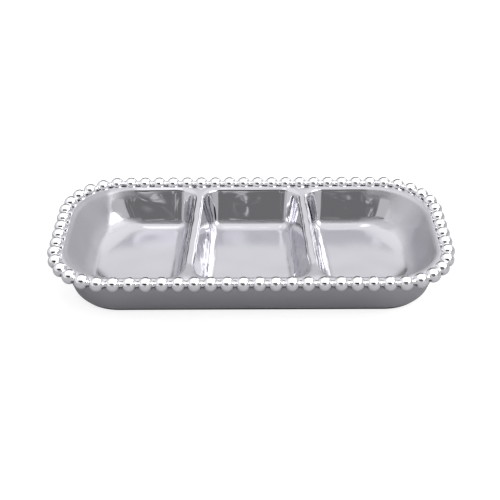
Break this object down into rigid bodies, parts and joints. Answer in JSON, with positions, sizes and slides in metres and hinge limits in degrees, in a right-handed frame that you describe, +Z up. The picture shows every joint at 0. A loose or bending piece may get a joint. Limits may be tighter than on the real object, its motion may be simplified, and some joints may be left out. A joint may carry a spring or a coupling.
{
  "type": "three-section server",
  "caption": "Long low serving tray of polished cast metal, split by two ridges into three wells, with a beaded rim.",
  "frame": {"origin": "middle of the flat base", "axes": "+X along the tray's length, -Y towards the front, +Z up out of the wells"},
  "size_m": [0.301, 0.148, 0.0395],
  "materials": {
    "shell_metal": "satin outside",
    "polished_metal": "mirror polished",
    "bead_metal": "mirror polished"
  },
  "bodies": {
    "root": {"tray_shell": "shell_metal", "rim_lip": "polished_metal", "left_divider": "polished_metal", "right_divider": "polished_metal", "front_beads": "bead_metal", "front_right_corner_beads": "bead_metal", "right_end_beads": "bead_metal", "back_right_corner_beads": "bead_metal", "back_beads": "bead_metal", "back_left_corner_beads": "bead_metal", "left_end_beads": "bead_metal", "front_left_corner_beads": "bead_metal"}
  },
  "joints": []
}
